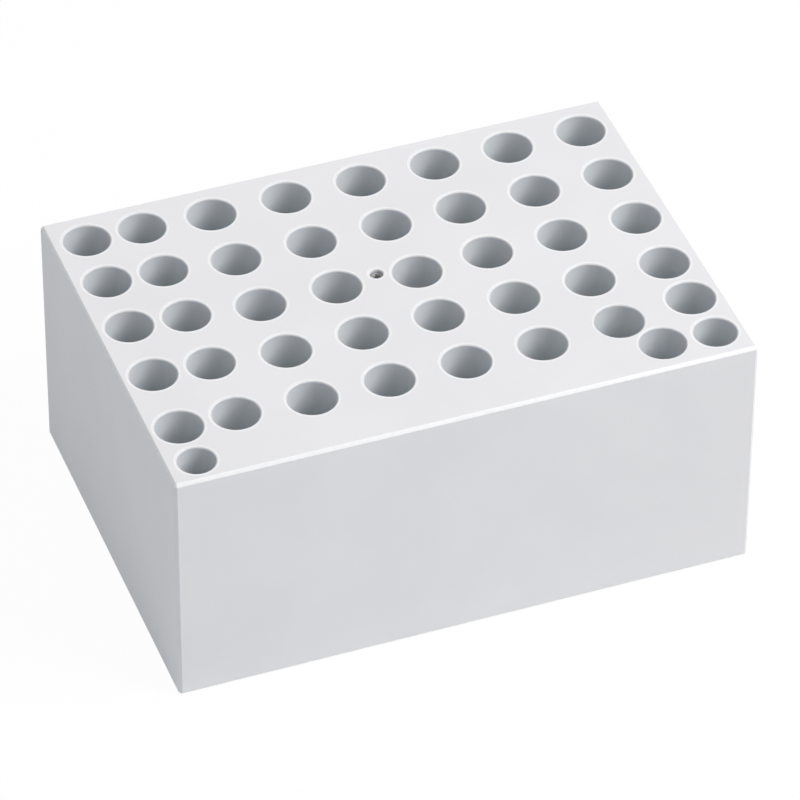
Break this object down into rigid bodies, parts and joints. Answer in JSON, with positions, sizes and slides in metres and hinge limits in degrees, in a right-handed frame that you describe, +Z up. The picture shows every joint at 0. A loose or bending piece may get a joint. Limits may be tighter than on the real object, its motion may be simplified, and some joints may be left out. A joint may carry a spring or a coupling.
{
  "type": "dry bath heating block",
  "caption": "Rectangular aluminium heating block for a dry bath, with rows of tapered wells for sample tubes and a small lifting hole near its middle.",
  "frame": {"origin": "middle of the underside, the face that lies on the hot plate", "axes": "+X to the right along the long front face, +Y to the back, +Z up out of the wells"},
  "size_m": [0.132, 0.092, 0.06],
  "materials": {
    "anodised_aluminium": "bead blasted and clear anodised, matte",
    "stainless_steel": "plain drawn steel"
  },
  "bodies": {
    "root": {"heating_block": "anodised_aluminium", "lifting_thread_insert": "stainless_steel"}
  },
  "joints": []
}
